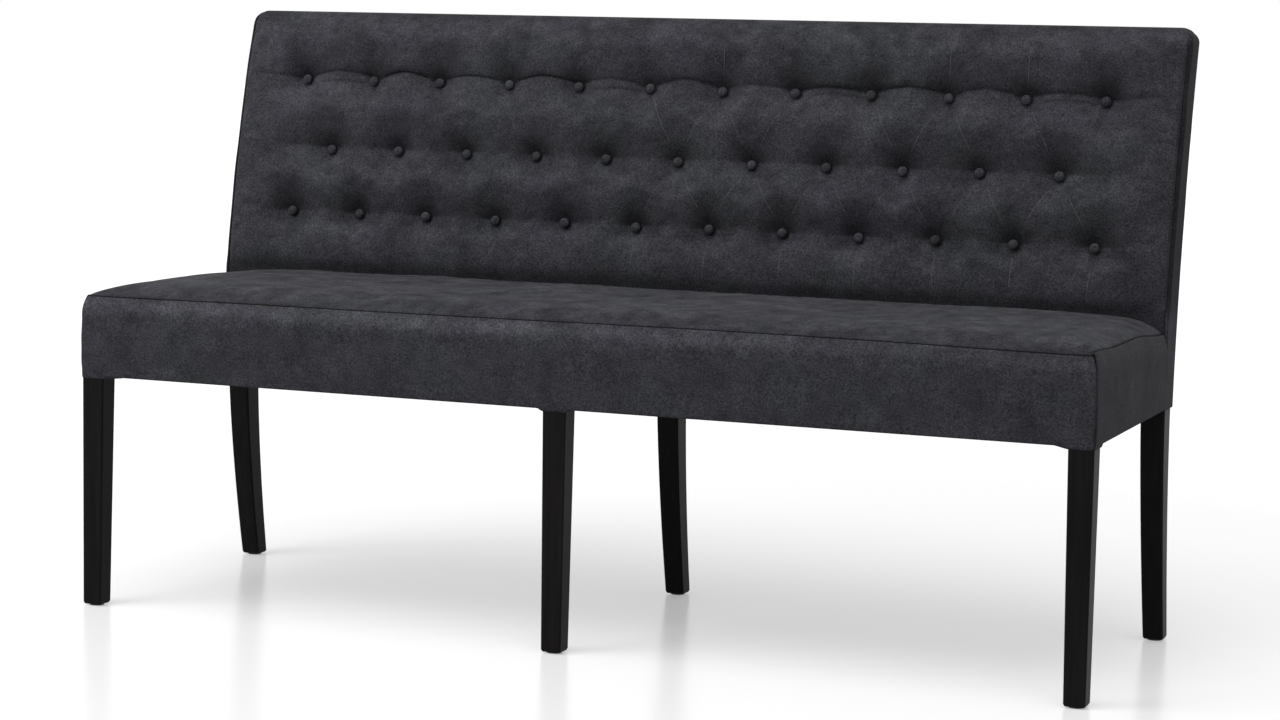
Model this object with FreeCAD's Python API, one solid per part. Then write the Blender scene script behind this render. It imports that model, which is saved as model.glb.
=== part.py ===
import FreeCAD, Part
import math
import os

# Upholstered kitchen bench: a doweled wooden frame on six legs, a webbed and foam-filled seat,
# and a reclined back whose foam and cover are drawn in by three staggered rows of buttons.
# Millimetres. X runs along the bench, +Y points to the back, +Z is up.
# The origin is on the floor, at the centre of the bench's outline.

Vector = FreeCAD.Vector

# Overall sizes
bench_width = 1600.0
bench_depth = 598.0
bench_height = 930.0

# Upholstered seat
apron_bottom = 362.0        # height of the cover's lower edge
seat_depth = 446.0          # front face to the foot of the back
seat_seam_height = 488.0    # seam between the top panel and the bands
seat_edge_round = 8.0       # roll of the bands below the seam
seat_crown = 15.0           # rise of the top panel above the seam
seat_crown_width = 110.0    # distance from the seam over which it rises
seat_corner_round = 4.5     # upright corners of the seat
seat_seam_round = 7.0       # corners of the seam, seen from above
seat_top_corner_round = 80.0
seat_back_gap = 0.4         # seat to the foot of the back

# Cover
cover_thickness = 1.5
hem_width = 22.0            # cover turned under the rails
dust_cover_thickness = 0.8
dust_cover_margin = 9.0     # dust cover's edge to the cover's outer face
leg_hole_gap = 0.5          # hem and dust cover to a leg

# Back: its rear face is one arc, from the apron's lower edge to the shoulder
back_base_depth = 505.0     # front of the bench to the rear face at the apron
back_bow = 16.5             # sagitta of that arc
back_top_thickness = 64.0   # thickness at the shoulder, along the side seams
back_top_round = 25.0
back_side_round_front = 12.0
back_foot_round = 2.5       # the same edges beside the seat
back_side_round_rear = 4.5
back_crown = 12.0           # padding proud of the side seams
back_crown_width = 70.0     # shoulder of the crown, along the bench
back_crown_rise = 45.0      # shoulder of the crown, above the seat
back_crown_fall = 55.0      # shoulder of the crown, below the top
back_crown_least = 0.3      # crown left at the very edges
gusset_width = 5.0          # side gusset's part of the front face
rear_panel_reach = 8.0      # rear panel's part of the side faces

# Tufting
button_columns = 12
button_margin = 120.0       # side of the bench to the first button
button_row_heights = (600.0, 705.0, 819.0)
button_diameter = 16.0
button_dome = 6.5
button_rim = 2.0
button_plate_diameter = 12.0
button_plate_thickness = 1.5
tuft_depth = 14.0
tuft_lift = 1.0             # tuft flare above the face, so that it meets it at an angle
tuft_rim_share = 0.45       # of the distance between buttons
tuft_floor_margin = 1.0     # flat floor of a tuft beyond its button
tuft_reach = 30.0           # open space in front of a tuft
twine_diameter = 2.0
twine_hole_diameter = 4.0
washer_diameter = 16.0
washer_thickness = 1.5

# Legs
leg_width = 37.0
leg_foot_width = 31.5
leg_edge_round = 3.0
leg_foot_bevel = 3.0
rear_leg_front = 452.0      # front of the bench to the front of a rear leg at the apron
rear_leg_depth = 42.0
rear_foot_depth = 31.0
rear_leg_sweep = 51.0       # how far the front of a rear foot stands behind the leg's top
rear_sweep_power = 1.6
glide_diameter = 22.0
glide_height = 2.5
glide_nail_diameter = 2.2
glide_nail_length = 16.0

# Seat frame
rail_height = 76.0
rail_thickness = 24.0
block_side = 62.0           # short side of a corner block
block_height = 44.0
dowel_diameter = 8.0
dowel_length = 32.0
long_rail_dowel_shares = (0.22, 0.78)
short_rail_dowel_shares = (0.4, 0.6)
block_screw_share = 0.55    # of the block's short side
block_screw_diameter = 4.5
block_screw_length = 40.0
block_screw_head_diameter = 9.0
block_screw_head_height = 3.0

# Seat webbing
webbing_width = 60.0
webbing_thickness = 1.5
webbing_straps_per_bay = 6
webbing_end_margin = 4.0
staple_crown = 11.0
staple_leg = 8.0
staple_wire = 1.0
staple_inset = 11.0         # strap's end to its staples
staple_place_shares = (-0.32, 0.0, 0.32)

# Back frame
post_depth = 32.0           # upper part of the outer rear legs
board_thickness = 6.0
board_bottom = 486.0
board_side_gap = 8.0        # board's edge to the side gusset
board_top_gap = 34.0        # board's edge below the top
back_rail_thickness = 22.0
back_rail_height = 55.0
stile_width = 38.0
stile_pitch_share = 2.25    # stiles stand a quarter pitch beside a button
back_rail_dowel_shares = (0.3, 0.7)
stile_dowel_shares = (-0.25, 0.25)
board_screw_diameter = 3.5
board_screw_length = 20.0
board_screw_head_diameter = 7.0
board_screw_head_height = 2.0
board_screw_rail_shares = (-0.9, -0.65, -0.4, -0.12, 0.12, 0.4, 0.65, 0.9)
board_screw_post_shares = (0.3, 0.5, 0.7)

# One overrun serves all cuts
overrun = 5.0
full_turn = 360.0

# Steps of the lofts
sweep_steps = 6
post_steps = 5
back_foot_steps = 3
back_face_shares = (0.0, 0.05, 0.1, 0.15, 0.22, 0.35, 0.5, 0.65, 0.8, 0.9, 1.0)
top_round_shares = (0.0, 0.25, 0.5, 0.7, 0.86, 1.0)
seat_round_shares = (0.0, 0.25, 0.5, 0.75, 1.0)
seat_crown_shares = (0.0, 0.2, 0.4, 0.6, 0.8, 0.93, 1.0)

# Values worked out from the sizes above
half_width = bench_width / 2
front_y = -bench_depth / 2
seat_rear_y = front_y + seat_depth
seat_top = seat_seam_height + seat_crown
shoulder_height = bench_height - back_top_round
rail_bottom = apron_bottom + cover_thickness
frame_top = rail_bottom + rail_height
webbing_top = frame_top + webbing_thickness
frame_half_width = half_width - cover_thickness
frame_front_y = front_y + cover_thickness
frame_rear_y = front_y + back_base_depth - cover_thickness
rear_leg_y = front_y + rear_leg_front
bay_inner_x = leg_width / 2
bay_outer_x = frame_half_width - leg_width
button_pitch = (bench_width - 2 * button_margin) / (button_columns - 1)
tuft_rim = tuft_rim_share * button_pitch
stile_x = stile_pitch_share * button_pitch
board_rear = cover_thickness + post_depth
board_front = board_rear + board_thickness
board_top = bench_height - board_top_gap
board_half_width = frame_half_width - board_side_gap
up = Vector(0, 0, 1)
along = Vector(1, 0, 0)
backwards = Vector(0, 1, 0)

# Rear arc of the back, from its chord and its bow
chord_y = bench_depth - back_base_depth
chord_z = shoulder_height - apron_bottom
chord_length = math.hypot(chord_y, chord_z)
arc_radius = (chord_length ** 2 / 4 + back_bow ** 2) / (2 * back_bow)
centre_reach = arc_radius - back_bow
arc_y = front_y + back_base_depth + chord_y / 2 + centre_reach * chord_z / chord_length
arc_z = apron_bottom + chord_z / 2 - centre_reach * chord_y / chord_length


# Places on the back

def rear_angle(height):
    """Angle of the rear arc, above the level of its centre, at a height."""
    return math.asin((height - arc_z) / arc_radius)


def back_point(height, offset, x=0.0):
    """Point in front of the rear face by an offset, square to it from that height."""
    angle = rear_angle(height)
    reach = arc_radius + offset
    return Vector(x, arc_y - reach * math.cos(angle), arc_z + reach * math.sin(angle))


def back_normal(height):
    """Direction square to the rear face, towards the front."""
    angle = rear_angle(height)
    return Vector(0, -math.cos(angle), math.sin(angle))


def back_tangent(height):
    """Direction up along the rear face."""
    angle = rear_angle(height)
    return Vector(0, math.sin(angle), math.cos(angle))


def rear_y(height, offset=0.0):
    """Depth of the arc that lies an offset inside the rear face, at a height."""
    reach = arc_radius + offset
    return arc_y - math.sqrt(reach ** 2 - (height - arc_z) ** 2)


def smooth(share):
    """Zero to one with level ends."""
    share = min(1.0, max(0.0, share))
    return share * share * (3 - 2 * share)


def edge_front_y(height):
    """Front of the back along its side seams."""
    if height <= seat_top:
        return seat_rear_y
    low_thickness = rear_y(seat_top) - seat_rear_y
    share = (height - seat_top) / (shoulder_height - seat_top)
    thickness = low_thickness + (back_top_thickness - low_thickness) * share
    return rear_y(height) - thickness


def crown_at(height):
    """How far the padding stands proud of the side seams."""
    rise = smooth((height - seat_top) / back_crown_rise)
    fall = smooth((bench_height - height) / back_crown_fall)
    return max(back_crown_least, back_crown * rise * fall)


def button_places():
    """Point of the crowned front face behind each button, and the direction square to it."""
    places = []
    for row, height in enumerate(button_row_heights):
        count = button_columns - row % 2
        first_x = -button_pitch * (count - 1) / 2
        face_y = edge_front_y(height) - crown_at(height)
        direction = back_normal(height)
        places += [(Vector(first_x + button_pitch * column, face_y, height), direction)
                   for column in range(count)]
    return places


def offset_of(point):
    """Distance of a point in front of the rear face."""
    return math.hypot(point.y - arc_y, point.z - arc_z) - arc_radius


# Shape helpers

def line(start, end):
    return Part.LineSegment(start, end).toShape()


def arc(start, middle, end):
    return Part.Arc(start, middle, end).toShape()


def box(x0, x1, y0, y1, z0, z1):
    return Part.makeBox(x1 - x0, y1 - y0, z1 - z0, Vector(x0, y0, z0))


def rod(start, direction, diameter, length):
    return Part.makeCylinder(diameter / 2, length, start, direction)


def dowel(middle, direction):
    """Dowel half in each of the two pieces that meet at its middle."""
    return rod(middle - direction * (dowel_length / 2), direction, dowel_diameter, dowel_length)


def one_solid(shape):
    """The single solid of a fused shape, with its split faces joined."""
    return shape.removeSplitter().Solids[0]


def loft(outlines, ruled=False):
    return Part.makeLoft(outlines, True, ruled)


def quarter(centre, start, end):
    """Quarter circle from start to end about a centre."""
    middle = (start - centre) + (end - centre)
    middle.normalize()
    return arc(start, centre + middle * (start - centre).Length, end)


def rounded_outline(x0, x1, y0, y1, z, radius):
    """Closed rectangle with round corners at one height."""
    front_left = Vector(x0 + radius, y0 + radius, z)
    front_right = Vector(x1 - radius, y0 + radius, z)
    rear_right = Vector(x1 - radius, y1 - radius, z)
    rear_left = Vector(x0 + radius, y1 - radius, z)
    side = along * radius
    end = backwards * radius
    return Part.Wire([
        line(front_left - end, front_right - end),
        quarter(front_right, front_right - end, front_right + side),
        line(front_right + side, rear_right + side),
        quarter(rear_right, rear_right + side, rear_right + end),
        line(rear_right + end, rear_left + end),
        quarter(rear_left, rear_left + end, rear_left - side),
        line(rear_left - side, front_left - side),
        quarter(front_left, front_left - side, front_left - end),
    ])


def back_slab(rear_offset, front_offset, low, high, x0, x1):
    """Curved slab between two offsets from the rear face of the back."""
    middle = (low + high) / 2
    low_rear = back_point(low, rear_offset, x0)
    high_rear = back_point(high, rear_offset, x0)
    high_front = back_point(high, front_offset, x0)
    low_front = back_point(low, front_offset, x0)
    outline = Part.Wire([
        arc(low_rear, back_point(middle, rear_offset, x0), high_rear),
        line(high_rear, high_front),
        arc(high_front, back_point(middle, front_offset, x0), low_front),
        line(low_front, low_rear),
    ])
    return Part.Face(outline).extrude(along * (x1 - x0))


def turned(base, axis, runs):
    """Solid turned about an axis, from lines and arcs through (radius, height) points."""
    def at(place):
        return base + along * place[0] + axis * place[1]
    edges = []
    for run in runs:
        points = [at(place) for place in run]
        edges.append(line(*points) if len(points) == 2 else arc(*points))
    return Part.Face(Part.Wire(edges)).revolve(base, axis, full_turn)


def screw(head_top, direction, diameter, length, head_diameter, head_height):
    """Flat-headed screw driven from the top of its head."""
    head = rod(head_top, direction, head_diameter, head_height)
    shank = rod(head_top + direction * head_height, direction, diameter, length - head_height)
    return one_solid(head.fuse(shank))


# Legs

def leg_outline(x_outer, inward, width, y0, y1, z, inset=0.0):
    """Outline of a leg whose outer face keeps its place; a centre leg has inward 0."""
    x_middle = x_outer + inward * width / 2
    return rounded_outline(x_middle - width / 2 + inset, x_middle + width / 2 - inset,
                           y0 + inset, y1 - inset, z, leg_edge_round)


def front_leg(x_outer, inward):
    """Straight leg, tapered on its inner and rear faces below the rails."""
    def section(width, z, inset=0.0):
        return leg_outline(x_outer, inward, width, frame_front_y, frame_front_y + width,
                           z, inset)
    return loft([
        section(leg_foot_width, glide_height, leg_foot_bevel / 2),
        section(leg_foot_width, glide_height + leg_foot_bevel),
        section(leg_width, rail_bottom),
        section(leg_width, frame_top),
    ], True)


def swept_section(x_outer, inward, z, inset=0.0):
    """Outline of the swept lower part of a rear leg at a height."""
    share = (rail_bottom - z) / (rail_bottom - glide_height)
    width = leg_width + (leg_foot_width - leg_width) * share
    depth = rear_leg_depth + (rear_foot_depth - rear_leg_depth) * share
    front = rear_leg_y + rear_leg_sweep * share ** rear_sweep_power
    return leg_outline(x_outer, inward, width, front, front + depth, z, inset)


def rear_leg(x_outer, inward, with_post):
    """Swept leg with a square knee; the outer ones run on upwards as posts of the back."""
    def knee_section(z):
        return leg_outline(x_outer, inward, leg_width, rear_leg_y, frame_rear_y, z)

    def post_section(z):
        return leg_outline(x_outer, inward, leg_width, rear_y(z, board_rear),
                           rear_y(z, cover_thickness), z)
    bevel_top = glide_height + leg_foot_bevel
    sweep_step = (rail_bottom - bevel_top) / sweep_steps
    foot = loft([swept_section(x_outer, inward, glide_height, leg_foot_bevel / 2),
                 swept_section(x_outer, inward, bevel_top)], True)
    pieces = [
        loft([swept_section(x_outer, inward, bevel_top + sweep_step * step)
              for step in range(sweep_steps + 1)]),
        loft([knee_section(rail_bottom), knee_section(frame_top)], True),
    ]
    if with_post:
        post_step = (board_top - board_bottom) / post_steps
        pieces.append(loft([knee_section(frame_top), post_section(board_bottom)], True))
        pieces.append(loft([post_section(board_bottom + post_step * step)
                            for step in range(post_steps + 1)]))
    return one_solid(foot.fuse(pieces))


def foot_centre(leg):
    """Middle of a leg's foot, at the top of its glide."""
    foot = min(leg.Faces, key=lambda face: face.CenterOfMass.z)
    return foot.CenterOfMass


def make_legs():
    """The six legs, and the glide nailed under each of them."""
    outer = frame_half_width
    legs = {
        "front_leg_left": front_leg(-outer, 1),
        "front_leg_centre": front_leg(0.0, 0),
        "front_leg_right": front_leg(outer, -1),
        "rear_leg_left": rear_leg(-outer, 1, True),
        "rear_leg_centre": rear_leg(0.0, 0, False),
        "rear_leg_right": rear_leg(outer, -1, True),
    }
    feet = [foot_centre(leg) for leg in legs.values()]
    glides = [rod(foot - up * glide_height, up, glide_diameter, glide_height)
              for foot in feet]
    nails = [rod(foot, up, glide_nail_diameter, glide_nail_length) for foot in feet]
    return legs, glides, nails


# Seat frame

def make_rails():
    """Boards between the legs, and the dowels in their ends."""
    side_front = frame_front_y + leg_width
    front_inner = frame_front_y + rail_thickness
    rear_inner = frame_rear_y - rail_thickness
    rails = {}
    dowels = []

    def add(name, x0, x1, y0, y1, shares):
        rails[name] = box(x0, x1, y0, y1, rail_bottom, frame_top)
        for share in shares:
            z = rail_bottom + rail_height * share
            if shares == long_rail_dowel_shares:
                dowels.extend(dowel(Vector(x, (y0 + y1) / 2, z), along) for x in (x0, x1))
            else:
                dowels.extend(dowel(Vector((x0 + x1) / 2, y, z), backwards) for y in (y0, y1))

    for name, side in (("left", -1), ("right", 1)):
        x0, x1 = sorted((side * bay_inner_x, side * bay_outer_x))
        add("front_rail_" + name, x0, x1, frame_front_y, front_inner, long_rail_dowel_shares)
        add("rear_rail_" + name, x0, x1, rear_inner, frame_rear_y, long_rail_dowel_shares)
        x0, x1 = sorted((side * frame_half_width, side * (frame_half_width - rail_thickness)))
        add("side_rail_" + name, x0, x1, side_front, rear_leg_y, short_rail_dowel_shares)
    add("centre_cross_rail", -rail_thickness / 2, rail_thickness / 2, side_front, rear_leg_y,
        short_rail_dowel_shares)
    return rails, dowels


def make_corner_blocks(legs):
    """Three-cornered blocks in the corners of both bays, each screwed to its two rails."""
    low = rail_bottom + (rail_height - block_height) / 2
    screw_z = low + block_height / 2
    reach = block_side * block_screw_share
    head_depth = block_side - reach - block_screw_head_diameter / 2
    across_y = (frame_front_y + rail_thickness, 1), (frame_rear_y - rail_thickness, -1)
    blocks = []
    screws = []
    for side in (-1, 1):
        across_x = ((side * rail_thickness / 2, side),
                    (side * (frame_half_width - rail_thickness), -side))
        for x, to_x in across_x:
            for y, to_y in across_y:
                corner = Vector(x, y, low)
                out_x = along * to_x
                out_y = backwards * to_y
                outline = Part.makePolygon([corner, corner + out_x * block_side,
                                            corner + out_y * block_side, corner])
                block = Part.Face(outline).extrude(up * block_height).cut(legs)
                for near, out in ((out_x, out_y), (out_y, out_x)):
                    head_top = Vector(x, y, screw_z) + near * reach + out * head_depth
                    screws.append(screw(head_top, out * -1, block_screw_diameter,
                                        block_screw_length, block_screw_head_diameter,
                                        block_screw_head_height))
                    block = block.cut(rod(head_top, out, block_screw_head_diameter, block_side))
                blocks.append(block)
    return blocks, screws


def staple(x, y):
    """Wire staple across a strap, its crown pressed flush into the webbing."""
    x0 = x - staple_crown / 2
    x1 = x + staple_crown / 2
    y0 = y - staple_wire / 2
    y1 = y + staple_wire / 2
    crown_low = webbing_top - staple_wire
    legs = [box(left, left + staple_wire, y0, y1, webbing_top - staple_leg, crown_low)
            for left in (x0, x1 - staple_wire)]
    return one_solid(box(x0, x1, y0, y1, crown_low, webbing_top).fuse(legs))


def make_webbing():
    """Straps from the front rails to the rear rails, with the staples in their ends."""
    y0 = frame_front_y + webbing_end_margin
    y1 = frame_rear_y - webbing_end_margin
    pitch = (bay_outer_x - bay_inner_x) / webbing_straps_per_bay
    straps = []
    staples = []
    for side in (-1, 1):
        for number in range(webbing_straps_per_bay):
            x = side * (bay_inner_x + pitch * (number + 1 / 2))
            strap = box(x - webbing_width / 2, x + webbing_width / 2, y0, y1,
                        frame_top, webbing_top)
            own = [staple(x + webbing_width * share, y)
                   for share in staple_place_shares
                   for y in (y0 + staple_inset, y1 - staple_inset)]
            straps.append(strap.cut(own))
            staples += own
    return straps, staples


# Back frame

def make_back_frame():
    """Two curved rails between the posts, two stiles between the rails, and their dowels."""
    rear = board_rear - back_rail_thickness
    middle = board_rear - back_rail_thickness / 2
    low_joint = board_bottom + back_rail_height
    high_joint = board_top - back_rail_height
    frame = {
        "back_lower_rail": back_slab(rear, board_rear, board_bottom, low_joint,
                                     -bay_outer_x, bay_outer_x),
        "back_top_rail": back_slab(rear, board_rear, high_joint, board_top,
                                   -bay_outer_x, bay_outer_x),
    }
    dowels = []
    for side in (-1, 1):
        for low in (board_bottom, high_joint):
            for share in back_rail_dowel_shares:
                height = low + back_rail_height * share
                dowels.append(dowel(back_point(height, middle, side * bay_outer_x), along))
        for height in (low_joint, high_joint):
            for share in stile_dowel_shares:
                x = side * stile_x + stile_width * share
                dowels.append(dowel(back_point(height, middle, x), back_tangent(height)))
    for name, side in (("left", -1), ("right", 1)):
        frame["back_stile_" + name] = back_slab(
            rear, board_rear, low_joint, high_joint,
            side * stile_x - stile_width / 2, side * stile_x + stile_width / 2)
    return frame, dowels


def make_tuft_board(twine_holes):
    """Curved plywood board that the buttons are tied to, with its screws."""
    places = [(bay_outer_x * share, low + back_rail_height / 2)
              for share in board_screw_rail_shares
              for low in (board_bottom, board_top - back_rail_height)]
    post_x = frame_half_width - leg_width / 2
    places += [(side * post_x, board_bottom + (board_top - board_bottom) * share)
               for share in board_screw_post_shares for side in (-1, 1)]
    screws = [screw(back_point(height, board_front, x), back_normal(height) * -1,
                    board_screw_diameter, board_screw_length,
                    board_screw_head_diameter, board_screw_head_height)
              for x, height in places]
    board = back_slab(board_rear, board_front, board_bottom, board_top,
                      -board_half_width, board_half_width)
    return board.cut(twine_holes + screws), screws


# Upholstered seat

def seat_outline(z, inset, shrink, corner, rear):
    """Outline of the seat: round front corners, square at the foot of the back."""
    side_x = half_width - inset - shrink
    front = front_y + inset + shrink
    arc_x = side_x - corner
    arc_front = front + corner
    right = Vector(arc_x, arc_front, z)
    left = Vector(-arc_x, arc_front, z)
    return Part.Wire([
        line(Vector(-arc_x, front, z), Vector(arc_x, front, z)),
        quarter(right, Vector(arc_x, front, z), Vector(side_x, arc_front, z)),
        line(Vector(side_x, arc_front, z), Vector(side_x, rear, z)),
        line(Vector(side_x, rear, z), Vector(-side_x, rear, z)),
        line(Vector(-side_x, rear, z), Vector(-side_x, arc_front, z)),
        quarter(left, Vector(-side_x, arc_front, z), Vector(-arc_x, front, z)),
    ])


def seat_form(inset, rear):
    """Crowned seat, shrunk by an inset: box, roll below the seam, then the crown."""
    roll = seat_edge_round - inset
    roll_low = seat_seam_height - seat_edge_round
    corner = seat_corner_round - inset
    box_part = loft([seat_outline(apron_bottom + inset, inset, 0.0, corner, rear),
                     seat_outline(roll_low, inset, 0.0, corner, rear)], True)
    roll_outlines = []
    for share in seat_round_shares:
        angle = share * math.pi / 2
        grown = corner + (seat_seam_round - seat_corner_round) * share
        roll_outlines.append(seat_outline(roll_low + roll * math.sin(angle), inset,
                                          roll * (1 - math.cos(angle)), grown, rear))
    crown_outlines = []
    for share in seat_crown_shares:
        spread = 1 - math.sqrt(1 - share)
        grown = corner + seat_seam_round - seat_corner_round
        grown += (seat_top_corner_round - seat_seam_round) * spread
        crown_outlines.append(seat_outline(seat_seam_height - inset + seat_crown * share, inset,
                                           roll + seat_crown_width * spread, grown, rear))
    return one_solid(box_part.fuse([loft(roll_outlines), loft(crown_outlines)]))


def seat_side_space(side):
    """Space of one side band, which meets the front band along the middle of the corner."""
    reach = hem_width + overrun
    outer_x = half_width + overrun
    inner_x = half_width - reach
    rear = seat_rear_y + overrun
    outline = Part.makePolygon([Vector(side * x, y, 0) for x, y in (
        (outer_x, front_y - overrun), (inner_x, front_y + reach),
        (inner_x, rear), (outer_x, rear), (outer_x, front_y - overrun))])
    return Part.Face(outline).extrude(up * bench_height)


def make_seat(leg_holes):
    """Foam of the seat, and its cover as a top panel and three bands."""
    inner = seat_form(cover_thickness, seat_rear_y + overrun)
    outer = seat_form(0.0, seat_rear_y - seat_back_gap)
    foam = inner.common(box(-half_width, half_width, front_y, seat_rear_y - seat_back_gap,
                            webbing_top, bench_height))
    hem_opening = box(hem_width - half_width, half_width - hem_width, front_y + hem_width,
                      seat_rear_y + overrun, apron_bottom - overrun, rail_bottom + overrun)
    shell = outer.cut([inner, hem_opening] + leg_holes)
    top_space = box(seat_edge_round - half_width, half_width - seat_edge_round,
                    front_y + seat_edge_round, seat_rear_y + overrun, frame_top, bench_height)
    bands = shell.cut(top_space)
    side_space = {side: seat_side_space(side) for side in (-1, 1)}
    return {
        "seat_foam": foam,
        "seat_top_panel": shell.common(top_space),
        "seat_front_band": bands.cut(list(side_space.values())),
        "seat_side_band_left": bands.common(side_space[-1]),
        "seat_side_band_right": bands.common(side_space[1]),
    }


# Upholstered back

def back_outline(height, inset, shrink):
    """Outline of the back at a height: plain rear and sides, crowned front."""
    rear = rear_y(height) - inset - shrink
    front = edge_front_y(height) + inset + shrink
    half = half_width - inset - shrink
    room = min(1.0, (rear - front) / (back_top_thickness - 2 * inset))
    above_seat = smooth((height - seat_seam_height) / back_crown_rise)
    seam_round = back_foot_round + (back_side_round_front - back_foot_round) * above_seat
    front_round = (seam_round - inset) * room
    rear_round = (back_side_round_rear - inset) * room
    crown = crown_at(height)
    crown_radius = (back_crown_width ** 2 + crown ** 2) / (2 * crown)
    half_way = back_crown_width / 2
    half_crown = math.sqrt(crown_radius ** 2 - half_way ** 2) - crown_radius + crown

    def corner(side):
        """Places of one side, as corner centres and the crown's shoulder."""
        front_centre = Vector(side * (half - front_round), front + front_round, height)
        rear_centre = Vector(side * (half - rear_round), rear - rear_round, height)
        low = Vector(front_centre.x, front, height)
        shoulder = Vector(low.x - side * half_way, front - half_crown, height)
        high = Vector(low.x - side * back_crown_width, front - crown, height)
        return front_centre, rear_centre, low, shoulder, high

    left_front, left_rear, left_low, left_shoulder, left_high = corner(-1)
    right_front, right_rear, right_low, right_shoulder, right_high = corner(1)
    front_side = along * front_round
    rear_side = along * rear_round
    rear_end = backwards * rear_round
    return Part.Wire([
        line(left_high, right_high),
        arc(right_high, right_shoulder, right_low),
        quarter(right_front, right_low, right_front + front_side),
        line(right_front + front_side, right_rear + rear_side),
        quarter(right_rear, right_rear + rear_side, right_rear + rear_end),
        line(right_rear + rear_end, left_rear + rear_end),
        quarter(left_rear, left_rear + rear_end, left_rear - rear_side),
        line(left_rear - rear_side, left_front - front_side),
        quarter(left_front, left_front - front_side, left_low),
        arc(left_low, left_shoulder, left_high),
    ])


def tuft(place, direction, inset):
    """Space of one tuft: a flat floor under the button, and walls that flare to the face."""
    width = tuft_rim - button_diameter / 2 - tuft_floor_margin
    drop = tuft_depth + tuft_lift
    radius = (width ** 2 + drop ** 2) / (2 * drop)
    centre = tuft_lift - radius
    floor = -tuft_depth - inset
    wall = radius - inset
    top = centre + wall
    floor_radius = tuft_rim - math.sqrt(wall ** 2 - (floor - centre) ** 2)
    half_way = (floor_radius + tuft_rim) / 2
    half_height = centre + math.sqrt(wall ** 2 - (tuft_rim - half_way) ** 2)
    return turned(place, direction, [
        ((0, floor), (floor_radius, floor)),
        ((floor_radius, floor), (half_way, half_height), (tuft_rim, top)),
        ((tuft_rim, top), (tuft_rim, tuft_reach)),
        ((tuft_rim, tuft_reach), (0, tuft_reach)),
        ((0, tuft_reach), (0, floor)),
    ])


def back_form(inset):
    """Tufted back, shrunk by an inset: foot beside the seat, face, then the round top."""
    low = apron_bottom + inset
    foot_step = (seat_top - low) / back_foot_steps
    foot = loft([back_outline(low + foot_step * step, inset, 0.0)
                 for step in range(back_foot_steps + 1)])
    face = loft([back_outline(seat_top + (shoulder_height - seat_top) * share, inset, 0.0)
                 for share in back_face_shares])
    roll = back_top_round - inset
    top_outlines = []
    for share in top_round_shares:
        angle = share * math.pi / 2
        top_outlines.append(back_outline(shoulder_height + roll * math.sin(angle), inset,
                                         roll * (1 - math.cos(angle))))
    tufts = [tuft(place, direction, inset) for place, direction in button_places()]
    return one_solid(foot.fuse([face.cut(tufts), loft(top_outlines)]))


def make_buttons():
    """Covered buttons with their plates, the twine behind them and the washers it is tied to."""
    buttons = []
    plates = []
    twine = []
    washers = []
    holes = []
    radius = button_diameter / 2
    dome_rise = button_dome - button_rim
    dome_radius = (radius ** 2 + dome_rise ** 2) / (2 * dome_rise)
    half_height = button_dome - dome_radius + math.sqrt(dome_radius ** 2 - (radius / 2) ** 2)
    for place, direction in button_places():
        seat = place - direction * tuft_depth
        length = offset_of(seat) - board_rear + washer_thickness
        inwards = direction * -1
        plate = rod(seat, direction, button_plate_diameter, button_plate_thickness)
        body = turned(seat, direction, [
            ((0, 0), (radius, 0)),
            ((radius, 0), (radius, button_rim)),
            ((radius, button_rim), (radius / 2, half_height), (0, button_dome)),
            ((0, button_dome), (0, 0)),
        ])
        cord = rod(seat, inwards, twine_diameter, length)
        knot = rod(seat + inwards * (length - washer_thickness), inwards, washer_diameter,
                   washer_thickness)
        buttons.append(body.cut(plate))
        plates.append(plate)
        twine.append(cord)
        washers.append(knot.cut(cord))
        holes.append(rod(seat + direction * overrun, inwards, twine_hole_diameter,
                         length - washer_thickness + overrun + board_thickness))
    return {"tuft_buttons": buttons, "button_plates": plates, "button_twine": twine,
            "twine_washers": washers}, holes


def make_back(twine_holes, leg_holes):
    """Tufted foam of the back, and its cover as a front panel, two gussets and a rear panel."""
    inner = back_form(cover_thickness)
    outer = back_form(0.0)
    wide = half_width + overrun
    rear_at_apron = front_y + back_base_depth
    below_foam = box(-wide, wide, front_y, bench_depth, 0, board_bottom)
    behind_foam = back_slab(-bench_depth, board_front, apron_bottom, board_top, -wide, wide)
    foam = inner.cut([below_foam, behind_foam] + twine_holes)
    hem_opening = box(hem_width - half_width, half_width - hem_width, seat_rear_y - overrun,
                      rear_at_apron - hem_width, apron_bottom - overrun, rail_bottom + overrun)
    shell = outer.cut([inner, hem_opening] + leg_holes)
    seam_x = half_width - gusset_width
    rear_hem = box(-seam_x, seam_x, rear_at_apron - hem_width - overrun, rear_at_apron,
                   apron_bottom, rail_bottom)
    rear_space = back_slab(-overrun, rear_panel_reach, arc_z, shoulder_height,
                           -wide, wide).fuse(rear_hem)
    between_seams = box(-seam_x, seam_x, front_y, bench_depth, 0, bench_height + overrun)
    front_foot = box(-frame_half_width, frame_half_width, front_y,
                     rear_at_apron - hem_width, 0, board_bottom)
    sides = shell.cut([rear_space, between_seams, front_foot])
    return {
        "back_foam": foam,
        "back_front_panel": shell.common(between_seams).cut([rear_space, front_foot]
                                                            + twine_holes),
        "back_rear_panel": shell.common(rear_space),
        "back_gusset_left": sides.common(box(-wide, 0, front_y, bench_depth, 0, 2 * bench_height)),
        "back_gusset_right": sides.common(box(0, wide, front_y, bench_depth, 0, 2 * bench_height)),
    }


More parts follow.
